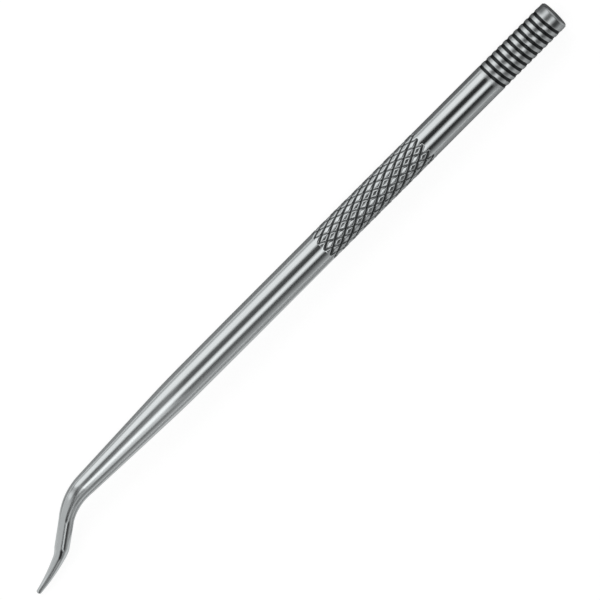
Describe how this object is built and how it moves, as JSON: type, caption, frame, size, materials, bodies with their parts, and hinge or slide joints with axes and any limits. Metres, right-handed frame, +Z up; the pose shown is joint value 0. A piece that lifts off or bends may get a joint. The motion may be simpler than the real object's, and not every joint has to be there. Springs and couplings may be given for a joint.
{
  "type": "angled pick",
  "caption": "One-piece steel pick with a threaded butt, a knurled grip band and a tapered point bent twice, for lifting seals and O-rings out of grooves.",
  "frame": {"origin": "on the table, under the middle of the pick's box as it lies at rest", "axes": "+X along the bar from the butt to the point, +Y to the side that the point is bent towards, +Z up from the table"},
  "size_m": [0.1474, 0.0118, 0.0064],
  "materials": {
    "steel": "bright drawn stainless bar, lightly polished along its length"
  },
  "bodies": {
    "root": {"pick": "steel"}
  },
  "joints": []
}
